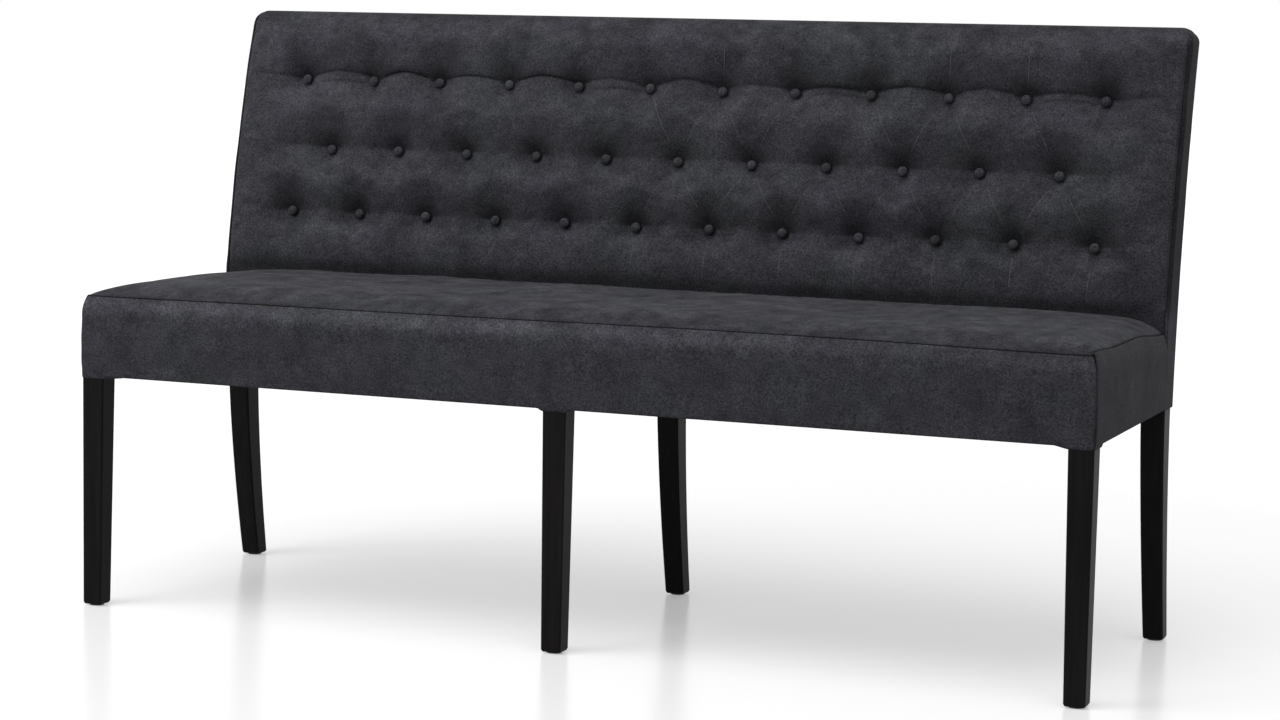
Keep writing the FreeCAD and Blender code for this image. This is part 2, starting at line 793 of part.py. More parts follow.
def make_leg_holes(legs):
    """Upright holes in the hems and the dust cover, one round each leg."""
    holes = []
    for leg in legs.values():
        place = leg.common(box(-half_width, half_width, -bench_depth, bench_depth,
                               apron_bottom - overrun, rail_bottom)).BoundBox
        holes.append(box(place.XMin - leg_hole_gap, place.XMax + leg_hole_gap,
                         place.YMin - leg_hole_gap, place.YMax + leg_hole_gap,
                         apron_bottom - overrun, rail_bottom))
    return holes


def make_dust_cover(leg_holes):
    """Thin cloth that closes the underside, from hem to hem."""
    side_x = half_width - dust_cover_margin
    return box(-side_x, side_x, front_y + dust_cover_margin,
               front_y + back_base_depth - dust_cover_margin,
               apron_bottom - dust_cover_thickness, apron_bottom).cut(leg_holes)


def make_pieces():
    """Every piece of the bench by its name; a list is a group of like solids."""
    legs, glides, nails = make_legs()
    rails, rail_dowels = make_rails()
    blocks, block_screws = make_corner_blocks(list(legs.values()))
    straps, staples = make_webbing()
    back_frame, back_dowels = make_back_frame()
    buttons, twine_holes = make_buttons()
    board, board_screws = make_tuft_board(twine_holes)
    leg_holes = make_leg_holes(legs)

    fixings = rail_dowels + back_dowels + block_screws + board_screws + staples + nails
    pieces = {}
    for wood in (legs, rails, back_frame):
        pieces.update({name: piece.cut(fixings) for name, piece in wood.items()})
    pieces["corner_blocks"] = [block.cut(block_screws) for block in blocks]
    pieces["rail_dowels"] = rail_dowels
    pieces["back_dowels"] = back_dowels
    pieces["block_screws"] = block_screws
    pieces["seat_webbing"] = straps
    pieces["webbing_staples"] = staples
    pieces["tuft_board"] = board
    pieces["board_screws"] = board_screws
    pieces.update(buttons)
    pieces.update(make_seat(leg_holes))
    pieces.update(make_back(twine_holes, leg_holes))
    pieces["dust_cover"] = make_dust_cover(leg_holes)
    pieces["floor_glides"] = glides
    pieces["glide_nails"] = nails
    return pieces


def main():
    os.makedirs("parts", exist_ok=True)
    for name, piece in make_pieces().items():
        shape = Part.makeCompound(piece) if isinstance(piece, list) else piece
        solids = shape.Solids
        print(name, len(solids), round(shape.Volume), shape.isValid())
        shape = solids[0] if len(solids) == 1 else Part.makeCompound(solids)
        shape.exportStep("parts/" + name + ".step")


main()
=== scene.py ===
import math

import bmesh
import bpy
import numpy as np
from mathutils import Matrix, Vector


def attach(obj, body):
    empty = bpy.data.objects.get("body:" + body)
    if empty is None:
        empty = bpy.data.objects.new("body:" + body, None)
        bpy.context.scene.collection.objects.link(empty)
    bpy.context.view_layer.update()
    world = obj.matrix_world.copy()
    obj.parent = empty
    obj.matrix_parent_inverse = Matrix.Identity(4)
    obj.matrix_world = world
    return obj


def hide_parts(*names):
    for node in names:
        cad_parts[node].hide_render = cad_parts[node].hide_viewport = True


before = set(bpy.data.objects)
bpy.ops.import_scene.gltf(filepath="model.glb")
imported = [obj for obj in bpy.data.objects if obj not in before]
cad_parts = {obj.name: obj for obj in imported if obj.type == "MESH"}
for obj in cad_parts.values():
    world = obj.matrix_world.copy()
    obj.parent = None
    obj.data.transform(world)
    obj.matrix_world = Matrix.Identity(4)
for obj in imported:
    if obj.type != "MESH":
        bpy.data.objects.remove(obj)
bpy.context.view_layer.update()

# Upholstered kitchen bench with a button-tufted back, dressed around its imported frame.
# Metres. X runs along the bench, +Y points to the back, +Z is up.

mm = 0.001

# Sizes of the upholstery. They follow the part's source, but the roll of the bands, the rounds of
# the back's corners, the rise of its crown and the reach of its rear panel are this file's own.
half_width = 800 * mm
bench_depth = 598 * mm
bench_height = 930 * mm
front_y = -bench_depth / 2
apron_bottom = 362 * mm
seat_depth = 446 * mm
seat_rear_y = front_y + seat_depth
seat_seam_height = 488 * mm
seat_edge_round = 8 * mm
band_roll = 30 * mm
band_roll_inset = 5.6 * mm
seat_crown = 15 * mm
seat_crown_width = 110 * mm
seat_side_crown_width = 60 * mm
seat_corner_round = 4.5 * mm
seat_seam_round = 7 * mm
seat_top = seat_seam_height + seat_crown
webbing_top = 441 * mm
back_base_depth = 505 * mm
back_bow = 16.5 * mm
back_top_thickness = 64 * mm
back_top_round = 25 * mm
back_corner_rounds = {-1: 15 * mm, 1: 24 * mm}
back_side_round = 12 * mm
back_side_rise = 36 * mm
back_foot_round = 2.5 * mm
back_rear_round = 4.5 * mm
back_crown = 12 * mm
back_crown_width = 70 * mm
back_crown_rise = 55 * mm
back_crown_fall = 55 * mm
gusset_width = 5 * mm
rear_panel_reach = 5 * mm
button_columns = 12
button_margin = 120 * mm
button_rows = (600 * mm, 705 * mm, 819 * mm)
button_radius = 8 * mm
button_dome = 6.5 * mm
button_rim = 0.28
button_bend = 0.62 * math.pi
tuft_depth = 14 * mm
tuft_pillow = 4 * mm
back_pad_thickness = 24 * mm
back_pad_rear_thickness = 6 * mm
leg_width = 37 * mm
hem_width = 22 * mm
seam_edges = np.array([0, 0.5, 1.1, 1.8, 2.7, 4, 6]) * mm
stitch_margin = 4.5 * mm
stitch_pitch = 5.5 * mm
stitch_length = 3.8 * mm
stitch_thickness = 0.45 * mm
pleat_width = 0.7 * mm
pleat_steps = 14

# Steps of the meshes; rows lie closer around the creases of the top buttons
profile_start = 470 * mm
back_row_step = 4 * mm
back_column_step = 3.5 * mm
crease_row_step = 1.3 * mm
crease_rows_below = 14 * mm
crease_rows_above = 24 * mm
rear_panel_step = 8 * mm
corner_steps = 6
front_steps = 408
side_steps = 124
seat_step = 5 * mm

# Covers that settle as cloth
cloth_frames = 20
cloth_step = 2
cloth_row_step = 8 * mm
cloth_reach = 3 * mm
back_pressure = 2.0
seat_pressure = 1.5

# Random draws
noise_cells = 257
noise_origin = 100
fold_seed = 7
pleat_seed = 17
button_seed = 21

# Camera fitted to the photograph; its spot, in millimetres, starts at the foot of the front
camera_yaw, camera_pitch, camera_roll = (math.radians(a) for a in (21.851, 6.573, 1.076))
camera_spot = (1709.35, -3928.32, 930.31)
focal_pixels = 2974
photo_width = 1280
sensor_width = 36

shoulder = bench_height - back_top_round
button_pitch = 2 * (half_width - button_margin) / (button_columns - 1)
chord_y = bench_depth - back_base_depth
chord_z = shoulder - apron_bottom
chord = math.hypot(chord_y, chord_z)
arc_radius = (chord ** 2 / 4 + back_bow ** 2) / (2 * back_bow)
arc_y = front_y + back_base_depth + chord_y / 2 + (arc_radius - back_bow) * chord_z / chord
arc_z = apron_bottom + chord_z / 2 - (arc_radius - back_bow) * chord_y / chord


# Numbers

def smooth(share):
    """Zero to one with level ends."""
    share = np.clip(share, 0.0, 1.0)
    return share * share * (3 - 2 * share)


def ease(distance, width):
    """Zero to one over a width in millimetres."""
    return smooth(distance / (width * mm))


def fade(distance, width):
    """One at no distance, falling off over a width in millimetres."""
    return np.exp(-distance / (width * mm))


def bell(distance, width):
    """One at no distance, falling off to both sides over a width in millimetres."""
    return np.exp(-(distance / (width * mm)) ** 2)


def soft_noise(a, b, size, seed):
    """Smooth random field from -1 to 1 whose lumps are about one size across."""
    lattice = np.random.default_rng(seed).uniform(-1, 1, (noise_cells, noise_cells))
    ga, gb = a / size + noise_origin, b / size + noise_origin
    ia, ib = np.floor(ga).astype(int), np.floor(gb).astype(int)
    fa, fb = smooth(ga - ia), smooth(gb - ib)

    def at(i, j):
        return lattice[(ia + i) % noise_cells, (ib + j) % noise_cells]
    low = at(0, 0) * (1 - fa) + at(1, 0) * fa
    high = at(0, 1) * (1 - fa) + at(1, 1) * fa
    return low * (1 - fb) + high * fb


def rear_y(z):
    """Depth of the rear face of the back at a height."""
    return arc_y - np.sqrt(arc_radius ** 2 - (z - arc_z) ** 2)


def edge_front_y(z):
    """Front of the back along its side seams."""
    low = rear_y(seat_top) - seat_rear_y
    share = (z - seat_top) / (shoulder - seat_top)
    return np.where(z <= seat_top, seat_rear_y,
                    rear_y(z) - (low + (back_top_thickness - low) * share))


# Meshes

def add_object(name, data):
    """New object in the scene."""
    item = bpy.data.objects.new(name, data)
    bpy.context.collection.objects.link(item)
    return item


def add_piece(name, vertices, faces, flat_from, material, creases=None):
    """Mesh object that rides on the bench; faces from flat_from on are flat rims."""
    mesh = bpy.data.meshes.new(name)
    mesh.from_pydata([tuple(v) for v in vertices], [], faces)
    mesh.polygons.foreach_set("use_smooth", np.arange(len(mesh.polygons)) < flat_from)
    mesh.materials.append(material)
    work = bmesh.new()
    work.from_mesh(mesh)
    bmesh.ops.recalc_face_normals(work, faces=work.faces)
    work.to_mesh(mesh)
    work.free()
    # Painted shade of a cover, kept per point as its crease attribute
    if creases is not None:
        layer = mesh.attributes.new("crease", "FLOAT", "POINT")
        layer.data.foreach_set("value", np.clip(creases, -1, 1).astype(np.float32))
    piece = add_object(name, mesh)
    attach(piece, "root")
    return piece


def grid_faces(rows, columns, start, flip):
    """Quads of a grid whose points are numbered row by row."""
    corners = start + np.arange(rows * columns).reshape(rows, columns)[:-1, :-1].reshape(-1, 1)
    quads = corners + np.array([0, 1, columns + 1, columns])
    return (quads[:, ::-1] if flip else quads).tolist()


def closed_grid(name, outer, inner, material, flip=False, creases=None):
    """Closed piece between two grids; creases are painted shade that darkens the outer one,
    negative ones lighten it.
    """
    rows, columns = outer.shape[:2]
    count = rows * columns
    vertices = np.concatenate([outer.reshape(-1, 3), inner.reshape(-1, 3)])
    faces = grid_faces(rows, columns, 0, flip) + grid_faces(rows, columns, count, not flip)
    smooth_count = len(faces)
    index = np.arange(count).reshape(rows, columns)
    ring = np.concatenate([index[0], index[1:, -1], index[-1, -2::-1], index[-2:0:-1, 0]]).tolist()
    for here, there in zip(ring, ring[1:] + ring[:1]):
        quad = (here, here + count, there + count, there)
        faces.append(quad[::-1] if flip else quad)
    if creases is not None:
        creases = np.concatenate([creases.ravel(), np.zeros(count)])
    return add_piece(name, vertices, faces, smooth_count, material, creases)


def grid_normals(points):
    """Unit normals of a grid, from the differences along its rows and columns."""
    normals = np.cross(np.gradient(points, axis=1), np.gradient(points, axis=0))
    return normals / np.maximum(np.linalg.norm(normals, axis=2, keepdims=True), 1e-12)


def shell(name, outer, material, flip=False, thickness=2 * mm, creases=None):
    """Closed sheet of cover from its outer grid."""
    side = -1 if flip else 1
    inner = outer - side * grid_normals(outer) * thickness
    return closed_grid(name, outer, inner, material, flip, creases)


def spaced(start, end, step):
    """Even places from start to end, with closer ones near both seams."""
    even = np.linspace(start, end, int((end - start) / step) + 1)
    inner = even[(even > start + seam_edges[-1]) & (even < end - seam_edges[-1])]
    return np.concatenate([start + seam_edges, inner, (end - seam_edges)[::-1]])


def settle(points, held, pressure, rows=None):
    """Moves of a cover's grid when it settles as cloth; held is its hold on the padding, 0 to 1."""
    rows = np.arange(0, points.shape[0], cloth_step) if rows is None else rows
    columns = np.arange(0, points.shape[1], cloth_step)
    sheet_points = points[np.ix_(rows, columns)]
    mesh = bpy.data.meshes.new("settling")
    mesh.from_pydata([tuple(p) for p in sheet_points.reshape(-1, 3)], [],
                     grid_faces(len(rows), len(columns), 0, False))
    sheet = add_object("settling", mesh)
    hold = sheet.vertex_groups.new(name="hold")
    for index, weight in enumerate(held[np.ix_(rows, columns)].ravel()):
        hold.add([index], float(weight), "REPLACE")
    cloth = sheet.modifiers.new("cloth", "CLOTH")
    settings = dict(quality=5, mass=0.3, tension_stiffness=15, compression_stiffness=15,
                    shear_stiffness=8, bending_stiffness=4, shrink_min=-0.008,
                    vertex_group_mass="hold", pin_stiffness=1, use_pressure=True,
                    uniform_pressure_force=pressure)
    for name, value in settings.items():
        setattr(cloth.settings, name, value)
    cloth.settings.effector_weights.gravity = 0
    cloth.collision_settings.use_collision = False
    scene = bpy.context.scene
    for number in range(cloth_frames):
        scene.frame_set(number + 1)
    settled = sheet.evaluated_get(bpy.context.evaluated_depsgraph_get()).data
    places = np.empty(len(settled.vertices) * 3)
    settled.vertices.foreach_get("co", places)
    moves = places.reshape(sheet_points.shape) - sheet_points
    bpy.data.objects.remove(sheet)
    scene.frame_set(1)
    size = np.linalg.norm(moves, axis=2, keepdims=True)
    moves *= cloth_reach * np.tanh(size / cloth_reach) / np.maximum(size, 1e-9)
    along = np.array([[np.interp(np.arange(points.shape[1]), columns, row[:, k]) for row in moves]
                      for k in range(3)])
    return np.array([[np.interp(np.arange(points.shape[0]), rows, column) for column in part.T]
                     for part in along]).transpose(2, 1, 0)


# Materials

def set_inputs(tree, node, **inputs):
    """Give inputs of a node a value, or a link from a socket; an underscore stands for a space."""
    for name, value in inputs.items():
        socket = node.inputs[name.replace("_", " ")]
        if isinstance(value, bpy.types.NodeSocket):
            tree.links.new(value, socket)
        else:
            socket.default_value = value
    return node


def add_node(tree, kind, **inputs):
    """New shader node with its inputs set."""
    return set_inputs(tree, tree.nodes.new("ShaderNode" + kind), **inputs)


def new_material(name):
    """Material with its node tree and its shader."""
    material = bpy.data.materials.new(name)
    material.use_nodes = True
    return material, material.node_tree, material.node_tree.nodes["Principled BSDF"]


def noise(tree, scale, detail, stretch=(1, 1, 1), roughness=0.5):
    """Noise in the bench's own coordinates, stretched along its axes."""
    place = add_node(tree, "TexCoord").outputs["Object"]
    place = add_node(tree, "Mapping", Vector=place, Scale=stretch).outputs["Vector"]
    return add_node(tree, "TexNoise", Vector=place, Scale=scale, Detail=detail,
                    Roughness=roughness).outputs["Fac"]


def ramp(tree, source, *stops):
    """Colours along a value, as (place, colour) stops; a single number is a grey."""
    node = add_node(tree, "ValToRGB", Fac=source)
    elements = node.color_ramp.elements
    while len(elements) < len(stops):
        elements.new(0.5)
    for element, (place, colour) in zip(elements, stops):
        element.position = place
        element.color = (*np.broadcast_to(colour, 3), 1)
    return node.outputs["Color"]


def multiply(tree, factor, first, second):
    """First colour, brought by a factor towards its product with the second."""
    node = add_node(tree, "MixRGB", Fac=factor, Color1=first, Color2=second)
    node.blend_type = "MULTIPLY"
    return node.outputs["Color"]


def span(tree, source, low, high, start=0.0, end=1.0):
    """A value between start and end brought to another range."""
    return add_node(tree, "MapRange", Value=source, From_Min=start, From_Max=end, To_Min=low,
                    To_Max=high).outputs["Result"]


def combine(tree, operation, first, second):
    """Two values brought together by an operation."""
    node = tree.nodes.new("ShaderNodeMath")
    node.operation = operation
    tree.links.new(first, node.inputs[0])
    tree.links.new(second, node.inputs[1])
    return node.outputs[0]


def bump(tree, shader, *layers):
    """Bumps laid on each other, as (height, strength, distance)."""
    below = {}
    for height, strength, distance in layers:
        node = add_node(tree, "Bump", Height=height, Strength=strength, Distance=distance, **below)
        below = {"Normal": node.outputs["Normal"]}
    set_inputs(tree, shader, **below)


def cover_material():
    """Anthracite suede-look leatherette: clouded, brushed nap, fine grain, darkened by painted
    shade from its crease attribute.
    """
    material, tree, shader = new_material("anthracite_leatherette")
    nap = noise(tree, 60, 6, stretch=(0.75, 1, 1), roughness=0.7)
    grain = noise(tree, 380, 3, roughness=0.65)
    pores = noise(tree, 230, 3)
    scuffs = noise(tree, 26, 8, stretch=(0.9, 0.7, 1), roughness=0.78)
    clouds = ramp(tree, noise(tree, 13, 6, roughness=0.68), (0.3, (0.033, 0.033, 0.0365)),
                  (0.5, (0.041, 0.041, 0.0455)), (0.7, (0.052, 0.053, 0.0575)))
    brushed = ramp(tree, nap, (0.3, 0.74), (0.7, 1.26))
    hue = ramp(tree, noise(tree, 7, 2), (0.35, (1.0, 0.95, 1.08)), (0.65, (0.98, 1.02, 1.03)))
    specks = ramp(tree, grain, (0.3, 0.35), (0.7, 1.65))
    worn = ramp(tree, scuffs, (0.36, 0.55), (0.64, 1.42))
    normal = add_node(tree, "NewGeometry").outputs["Normal"]
    upward = span(tree, add_node(tree, "SeparateXYZ", Vector=normal).outputs["Z"], 0.25, 1.0)
    # Painted shade: the crease attribute darkens the colour, and its negative values lighten it
    crease = add_node(tree, "Attribute")
    crease.attribute_name = "crease"
    shade = span(tree, crease.outputs["Fac"], 1.9, 0.1, start=-1)
    colour = multiply(tree, 0.85, clouds, brushed)
    colour = multiply(tree, 0.8, colour, hue)
    colour = multiply(tree, 0.9, colour, specks)
    colour = multiply(tree, upward, colour, worn)
    set_inputs(tree, shader, Base_Color=multiply(tree, 1.0, colour, shade),
               Roughness=span(tree, nap, 0.66, 0.88), Specular_IOR_Level=0.03,
               Sheen_Weight=0.03, Sheen_Roughness=0.5)
    bump(tree, shader, (pores, 0.35, 0.8 * mm), (grain, 0.35, 0.4 * mm))
    return material


def wood_material(name, dark, light, rough, along, gloss_level=0.4):
    """Wood with grain along one axis."""
    material, tree, shader = new_material(name)
    stretch = [30, 30, 30]
    stretch[along] = 1.5
    grain = noise(tree, 4, 6, stretch=stretch, roughness=0.6)
    shade = ramp(tree, noise(tree, 7, 2), (0.3, 0.85), (0.7, (1.1, 1.08, 1.05)))
    colour = ramp(tree, grain, (0.35, dark), (0.68, light))
    set_inputs(tree, shader, Base_Color=multiply(tree, 0.8, colour, shade),
               Roughness=span(tree, grain, rough - 0.06, rough + 0.1),
               Specular_IOR_Level=gloss_level)
    bump(tree, shader, (grain, 0.3, 0.3 * mm))
    return material


def plain_material(name, dark, light, rough, scale, metallic=0.0, stretch=(1, 1, 1)):
    """Small-grained material for thread, fittings and cloth inside the bench."""
    material, tree, shader = new_material(name)
    grain = noise(tree, scale, 3, stretch=stretch)
    set_inputs(tree, shader, Base_Color=ramp(tree, grain, (0.35, dark), (0.65, light)),
               Roughness=span(tree, grain, rough - 0.08, rough + 0.08), Metallic=metallic)
    bump(tree, shader, (grain, 0.3, 0.2 * mm))
    return material


cover = cover_material()
# Pleats are paler than the cover
pleat = plain_material("pale_pleat", (0.050, 0.050, 0.054), (0.125, 0.125, 0.130), 0.8, 160)
thread = plain_material("grey_thread", (0.06, 0.062, 0.066), (0.10, 0.102, 0.106), 0.7, 900)


# Tufted back

def back_profile():
    """Length, y, z and normal along the back's section, from the seat over the top to the rear."""
    z_front = np.linspace(profile_start, shoulder, 300)
    angle = np.linspace(0, math.pi / 2, 40)
    z_round = shoulder + back_top_round * np.sin(angle)
    inset = back_top_round * (1 - np.cos(angle))
    y = np.concatenate([edge_front_y(z_front), edge_front_y(z_round) + inset,
                        (rear_y(z_round) - inset)[::-1]])
    z = np.concatenate([z_front, z_round, z_round[::-1]])
    length = np.concatenate([[0], np.cumsum(np.hypot(np.diff(y), np.diff(z)))])
    even = np.linspace(0, length[-1], int(length[-1] / back_row_step) + 1)
    crease = np.interp(button_rows[-1], z[:len(z_front)], length[:len(z_front)])
    low, high = crease - crease_rows_below, crease + crease_rows_above
    even = np.concatenate([even[even < low - mm], np.arange(low, high, crease_row_step),
                           even[even > high]])
    y, z = np.interp(even, length, y), np.interp(even, length, z)
    turn_y, turn_z = np.gradient(y), np.gradient(z)
    size = np.hypot(turn_y, turn_z)
    return even, y, z, -turn_z / size, turn_y / size


def row_places(row):
    """Places along the bench of one row's buttons; the middle row is staggered."""
    count = button_columns - row % 2
    first = -button_pitch * (count - 1) / 2
    return [first + button_pitch * column for column in range(count)]


def button_spots():
    """(x, height, row) of every button."""
    return [(x, height, row) for row, height in enumerate(button_rows) for x in row_places(row)]


def groove(x, s, start, end, depth, width):
    """Shallow fold along a line between two points, some millimetres wide."""
    ax, ay = start
    dx, dy = end[0] - ax, end[1] - ay
    length = math.hypot(dx, dy)
    along = ((x - ax) * dx + (s - ay) * dy) / length ** 2
    away = np.abs((x - ax) * dy - (s - ay) * dx) / length
    taper = smooth(along / 0.12) * smooth((1 - along) / 0.25)
    inside = (along > 0) & (along < 1)
    return np.where(inside, -depth * taper * bell(away, width), 0.0)


def crease_line(x, s, x0, x1, level, rise):
    """Height above a crease that arches between two neighbouring buttons, and its strength."""
    share = (x - x0) / (x1 - x0)
    inside = (share > 0) & (share < 1)
    arch = rise * np.sin(np.pi * np.clip(share, 0, 1)) ** 0.8
    taper = smooth(share / 0.08) * smooth((1 - share) / 0.08)
    return s - level - arch, np.where(inside, taper, 0.0)


def crease_lines(height_to_s, rng):
    """(start, end, level, rise, depth, sharpness) of the top row's creases, sharper on the left."""
    xs = row_places(2)
    level = height_to_s(button_rows[2])
    lines = []
    for x0, x1 in zip(xs, xs[1:]):
        start, end = x0 + rng.uniform(-2, 18) * mm, x1 + rng.uniform(-18, 2) * mm
        rise, depth = rng.uniform(4, 10) * mm, rng.uniform(1.6, 5.2) * mm
        lines.append((start, end, level + 3 * mm, rise, depth, 1.0 if x0 < -0.1 else 0.35))
        if rng.uniform() < 0.45:
            lines.append((x0 + 20 * mm, x1 - 8 * mm, level - 8 * mm, 3 * mm, 2.2 * mm, 0.1))
    return lines


def arch_heights(columns, lines, level):
    """Height of the top row's creases above the level of its buttons."""
    arch = np.zeros_like(columns)
    for start, end, low, rise, *_ in lines:
        if low > level:
            drop, strength = crease_line(columns, 0.0, start, end, 0.0, rise)
            arch = np.maximum(arch, ((low - level) * strength - drop) * (strength > 0))
    return arch


def overhang(above, strength, depth, width):
    """Step at a crease: the padding above hangs over the one below."""
    steep = fade(np.clip(above, 0, None), width)
    gentle = fade(np.clip(-above, 0, None), 13)
    return -depth * strength * np.where(above > 0, steep, gentle)


def hollows(x, s, height_to_s, arch):
    """Depth, from 0 to 1, of the tufts and of the valleys along their rows, and their shade."""
    tufts, valleys, shade = np.zeros((3, *x.shape))
    for row, height in enumerate(button_rows):
        xs = np.array(row_places(row))
        away = np.min(np.abs(x[0][:, None] - xs), axis=1) / (button_pitch / 2)
        between = 0.54 + 0.16 * np.cos(np.pi * np.clip(away, 0, 1))
        ends = ease(half_width - 40 * mm - np.abs(x[0]), 70)
        above = s - height_to_s(height)
        width, power = np.where(above > 0, 33 * mm, 42 * mm), np.where(above > 0, 1.5, 2.4)
        valley = between * ends * np.exp(-(np.abs(above) / width) ** power)
        valleys = np.maximum(valleys, valley)
        upper = smooth(above / (5 * mm) + 0.5)
        if row == 2:
            soft = 2.6 * mm + 4 * mm * smooth((x[0] + 0.1) / 0.12)
            upper = smooth((above - arch) / soft + 0.5)
        shade = np.maximum(shade, 0.52 * valley * upper)
        for bx in xs:
            distance = np.hypot(x - bx, above)
            below = smooth(0.5 - above / np.maximum(distance, 1e-6) / 2)
            off = np.clip(distance - button_radius, 0, None)
            tuft = np.exp(-(off / ((25 + 7 * below) * mm)) ** (1.15 + 0.6 * below))
            tufts = np.maximum(tufts, tuft)
            shade = np.maximum(shade, 0.8 * tuft * upper)
            shade = np.maximum(shade, 0.9 * bell(off, 2.2))
    return (tufts ** 3 + valleys ** 3) ** (1 / 3), shade


def folds(x, s, height_to_s, lines, rng):
    """Creases between the top buttons, faint pleats out of all of them, and the creases' shade."""
    spots = button_spots()
    relief, shade = np.zeros((2, *x.shape))
    for start, end, low, rise, depth, sharp in lines:
        above, strength = crease_line(x, s, start, end, low, rise)
        relief += overhang(above, strength, depth, 5 - 2.2 * sharp)
        line = bell(above - 0.6 * mm, 3.4 - 1.8 * sharp)
        shade = np.maximum(shade, line * strength * (0.4 + 0.6 * sharp) * depth / (5 * mm))
    for row, height in enumerate(button_rows):
        xs, level = row_places(row), height_to_s(height)
        for end_x, side in ((xs[0], -1), (xs[-1], 1)):
            far = (end_x + side * 100 * mm, level + 5 * mm)
            fold = groove(x, s, (end_x, level), far, (0.4 + 0.4 * row) * mm, 3.5)
            relief += fold
            shade = np.maximum(shade, -fold / (3 * mm))
    for bx, bz, row in spots:
        here = height_to_s(bz)
        marked = 0.35 + 0.65 * smooth((bx + 0.1) / 0.5)
        for tx, tz, to_row in spots:
            if to_row == row + 1 and abs(tx - bx) < button_pitch:
                relief += groove(x, s, (bx, here), (tx, height_to_s(tz)),
                                 rng.uniform(0.1, 0.9) * marked * mm, 2.8)
        drift = rng.uniform(-6, 6) * mm
        if row == 0:
            relief += groove(x, s, (bx, here), (bx + drift, 10 * mm),
                             rng.uniform(0.3, 1.0) * marked * mm, 2.6)
        if row == 2:
            relief += groove(x, s, (bx, here), (bx + drift, height_to_s(shoulder) + 12 * mm),
                             rng.uniform(0.2, 0.7) * marked * mm, 3.5)
    return relief, shade


def top_height(x):
    """Height of the back's upper outline, with its round corners."""
    radius = np.where(x < 0, back_corner_rounds[-1], back_corner_rounds[1])
    corner = np.clip((np.abs(x) - (half_width - radius)) / radius, 0, 1)
    return bench_height - radius * (1 - np.sqrt(1 - corner ** 2))


def make_back():
    """Front panel of the back over its foam, rolled over the top to the rear seam."""
    length, y, z, normal_y, normal_z = back_profile()
    seam_x = half_width - gusset_width
    columns = spaced(-seam_x, seam_x, back_column_step)
    x, s = np.meshgrid(columns, length)
    peak = int(np.argmax(z))

    def height_to_s(height):
        return float(np.interp(height, z[:peak], length[:peak]))
    from_seam = seam_x - np.abs(x)
    shoulder_x = np.clip(from_seam / back_crown_width, 0, 1)
    across = np.sqrt(1 - (1 - shoulder_x) ** 2)
    rise = 1 - (1 - np.clip((z - seat_top) / back_crown_rise, 0, 1)) ** 2
    fall = np.where(np.arange(len(z)) <= peak, smooth((bench_height - z) / back_crown_fall), 0)
    crown = back_crown * across * (rise * fall)[:, None]
    face = ease(s - 25 * mm, 30) * ease(height_to_s(shoulder) + 14 * mm - s, 30)
    rng = np.random.default_rng(fold_seed)
    lines = crease_lines(height_to_s, rng)
    arch = arch_heights(columns, lines, height_to_s(button_rows[2]))
    depth, hollow_shade = hollows(x, s, height_to_s, arch)
    fold_relief, fold_shade = folds(x, s, height_to_s, lines, rng)
    relief = ((tuft_pillow - (tuft_depth + tuft_pillow) * depth + fold_relief) * face
              * ease(from_seam, 60))
    loose = face * ease(z - seat_top - 20 * mm, 50)[:, None]
    relief += (1.1 * mm * soft_noise(x, s, 70 * mm, seed=3)
               + 0.45 * mm * soft_noise(x, s, 24 * mm, seed=4)) * loose
    seam_depth = (3 - 2 * ease(z - shoulder, 8))[:, None] * mm
    relief -= seam_depth * fade(from_seam, 2.0)
    turn = np.clip(np.abs(x) - (half_width - back_side_round), 0, None)
    turned = back_side_round - np.sqrt(back_side_round ** 2 - turn ** 2)
    above_seat = smooth((z - seat_seam_height) / back_side_rise)[:, None]
    lift = crown + relief - turned * above_seat * (1 - np.clip(normal_z, 0, 1))[:, None]
    top_part = (top_height(x) - shoulder) / back_top_round
    level = z[:, None]
    base_z = np.where(level > shoulder, shoulder + (level - shoulder) * top_part, level)
    outer = np.stack([x, y[:, None] + normal_y[:, None] * lift,
                      base_z + normal_z[:, None] * lift], axis=2)
    button_hold = np.clip(hollow_shade / 0.9, 0, 1) ** 4
    edge_hold = np.maximum(smooth(1 - from_seam / (30 * mm)), 1 - loose)
    held = np.clip(0.12 + np.maximum(button_hold, edge_hold), 0, 1)
    cloth_rows = np.unique(np.searchsorted(length, np.arange(0, length[-1], cloth_row_step)))
    outer += settle(outer, held, back_pressure, cloth_rows)
    rear_share = ease(length - height_to_s(shoulder) + 20 * mm, 40)
    thick = (back_pad_thickness * (1 - rear_share) + back_pad_rear_thickness * rear_share)[:, None]
    inner = np.stack([x, y[:, None] - normal_y[:, None] * thick + 0 * x,
                      base_z - normal_z[:, None] * thick], axis=2)
    # Painted shade: tufts, folds, the foot of the back above the seat, its side seams and its top
    # edge
    foot = 0.4 * np.clip((height_to_s(seat_top) + 24 * mm - s) / (30 * mm), 0, 1) ** 1.5
    roll = 0.22 * ease(z - bench_height + 14 * mm, 12)[:, None]
    seam = 0.5 * fade(from_seam, 1.2) * above_seat
    creases = np.maximum.reduce([hollow_shade, fold_shade, foot, seam, roll + 0 * x])
    piece = closed_grid("back_pad", outer, inner, cover, creases=creases)
    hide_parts("back_front_panel", "back_foam")
    seam_rows = slice(int(np.searchsorted(length, height_to_s(seat_top))), peak)
    for side, name in ((-1, "stitches_left"), (1, "stitches_right")):
        column = int(np.argmin(np.abs(columns - side * (seam_x - stitch_margin))))
        make_stitches(name, outer[seam_rows, column], grid_normals(outer)[seam_rows, column])
    make_pleats(outer, columns, length, height_to_s)


